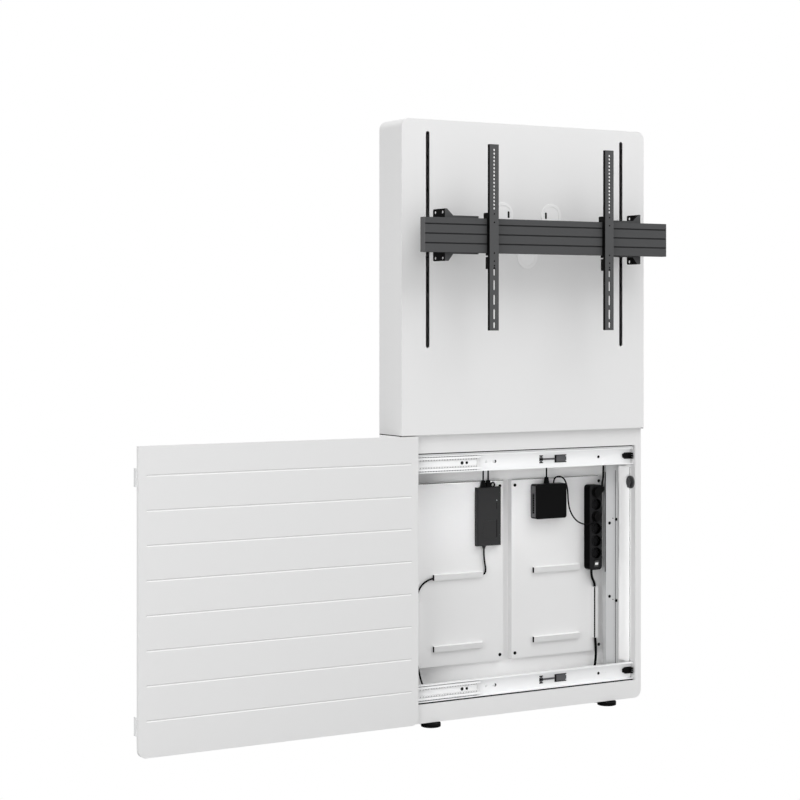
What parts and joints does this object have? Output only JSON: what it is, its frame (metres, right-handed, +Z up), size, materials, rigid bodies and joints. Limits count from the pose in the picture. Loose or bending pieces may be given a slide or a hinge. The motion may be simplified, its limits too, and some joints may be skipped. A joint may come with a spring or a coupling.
{
  "type": "tv lift mechanism",
  "caption": "Tall white steel housing with a motorised display lift on its front and a sliding grooved door over an equipment cabinet, shown open.",
  "frame": {"origin": "on the floor, in the middle of the four feet", "axes": "+X to the right seen from the front, +Y towards the wall, +Z up; the door is stored pushed fully to the left, the lift near mid travel"},
  "size_m": [1.65, 0.261, 1.734],
  "materials": {
    "white_coat": "satin powder coat",
    "white_plastic": "fine satin",
    "black_plastic": "matte moulded",
    "player_black": "satin moulded",
    "strip_black": "matte moulded",
    "rocker_black": "gloss",
    "grey_plastic": "matte moulded",
    "black_rubber": "matte",
    "lead_black": "satin jacket",
    "zinc_steel": "bright zinc plated",
    "steel_balls": "polished balls in a steel strip",
    "rail_aluminium": "clear anodised",
    "carriage_aluminium": "machined",
    "dark_anodised": "dark anodised satin",
    "dark_coat": "fine texture powder coat",
    "black_coat": "satin",
    "black_steel": "black oxide",
    "lock_metal": "satin",
    "spindle_steel": "rolled thread",
    "motor_steel": "satin"
  },
  "bodies": {
    "housing": {"upper_shell": "white_coat", "upper_front_panel": "white_coat", "upper_back_panel": "white_coat", "divider_plate": "white_coat", "lower_shell": "white_coat", "lower_front_frame": "white_coat", "lower_back_panel": "white_coat", "side_liners": "white_coat", "left_tray": "white_coat", "right_tray": "white_coat", "outlet_rings": "white_plastic", "feet": "black_plastic", "guide_rails": "rail_aluminium", "guide_rail_mounts": "rail_aluminium", "black_screws": "black_steel", "outer_slide_lower": "zinc_steel", "outer_slide_upper": "zinc_steel", "slide_beams": "zinc_steel", "soft_closers": "grey_plastic", "slide_stops": "black_rubber", "lock_barrel": "lock_metal", "control_box": "black_plastic", "control_plugs": "black_plastic", "media_player": "player_black", "power_strip": "strip_black", "player_plug": "black_plastic", "mains_inlet": "black_plastic", "lead_sockets": "black_plastic", "control_lead": "lead_black", "strip_lead": "lead_black", "motor_leads": "lead_black", "display_lead": "lead_black", "video_lead": "lead_black", "player_power_lead": "lead_black", "lift_motors": "motor_steel"},
    "door": {"door_panel": "white_coat", "door_slide_members": "zinc_steel", "door_brackets": "zinc_steel", "door_hook": "zinc_steel"},
    "middle_upper": {"middle_slide_upper": "zinc_steel", "ball_cage_upper": "steel_balls"},
    "middle_lower": {"middle_slide_lower": "zinc_steel", "ball_cage_lower": "steel_balls"},
    "lift_frame": {"carriages": "carriage_aluminium", "bracket_left": "dark_coat", "bracket_right": "dark_coat", "display_rail": "dark_anodised", "rail_end_caps": "black_plastic"},
    "strip_left": {"display_strip_left": "dark_coat", "strip_clamp_left": "black_coat"},
    "strip_right": {"display_strip_right": "dark_coat", "strip_clamp_right": "black_coat"},
    "screw_left": {"spindle_left": "spindle_steel"},
    "screw_right": {"spindle_right": "spindle_steel"},
    "lock_turning": {"lock_plug": "lock_metal", "lock_cam": "lock_metal"},
    "rocker": {"power_switch": "rocker_black"},
    "cap_left": {"outlet_cap_left": "white_plastic"},
    "cap_right": {"outlet_cap_right": "white_plastic"},
    "cap_lower": {"outlet_cap_lower": "white_plastic"}
  },
  "joints": [
    {"name": "door_slide", "type": "slide", "parent": "housing", "child": "door", "axis": [1, 0, 0], "range_m": [0, 0.795]},
    {"name": "middle_upper_slide", "type": "slide", "parent": "housing", "child": "middle_upper", "axis": [1, 0, 0], "range_m": [0, 0.398]},
    {"name": "middle_lower_slide", "type": "slide", "parent": "housing", "child": "middle_lower", "axis": [1, 0, 0], "range_m": [0, 0.398]},
    {"name": "lift", "type": "slide", "parent": "housing", "child": "lift_frame", "axis": [0, 0, 1], "range_m": [-0.26, 0.245]},
    {"name": "screw_left_turn", "type": "hinge", "parent": "housing", "child": "screw_left", "pos_m": [-0.296, -0.034, 1.3], "axis": [0, 0, 1], "range_deg": [-4690, 4420]},
    {"name": "screw_right_turn", "type": "hinge", "parent": "housing", "child": "screw_right", "pos_m": [0.296, -0.034, 1.3], "axis": [0, 0, 1], "range_deg": [-4690, 4420]},
    {"name": "strip_left_slide", "type": "slide", "parent": "lift_frame", "child": "strip_left", "axis": [1, 0, 0], "range_m": [-0.15, 0.15]},
    {"name": "strip_right_slide", "type": "slide", "parent": "lift_frame", "child": "strip_right", "axis": [1, 0, 0], "range_m": [-0.15, 0.15]},
    {"name": "lock_turn", "type": "hinge", "parent": "housing", "child": "lock_turning", "pos_m": [0.41, -0.027, 0.6689], "axis": [-1, 0, 0], "range_deg": [0, 90]},
    {"name": "rocker_tilt", "type": "hinge", "parent": "housing", "child": "rocker", "pos_m": [0.30225, 0.0124, 0.4226], "axis": [-1, 0, 0], "range_deg": [0, 20]},
    {"name": "cap_left_turn", "type": "hinge", "parent": "housing", "child": "cap_left", "pos_m": [-0.0846, -0.064, 1.47], "axis": [0, 1, 0], "continuous": true},
    {"name": "cap_right_turn", "type": "hinge", "parent": "housing", "child": "cap_right", "pos_m": [0.0846, -0.064, 1.47], "axis": [0, 1, 0], "continuous": true},
    {"name": "cap_lower_turn", "type": "hinge", "parent": "housing", "child": "cap_lower", "pos_m": [0, -0.064, 1.349], "axis": [0, 1, 0], "continuous": true}
  ],
  "couplings": [
    {"joint": "middle_upper_slide", "follows": "door_slide", "ratio": 0.5},
    {"joint": "middle_lower_slide", "follows": "door_slide", "ratio": 0.5},
    {"joint": "screw_left_turn", "follows": "lift", "rad_per_m": 314.16},
    {"joint": "screw_right_turn", "follows": "lift", "rad_per_m": 314.16}
  ]
}
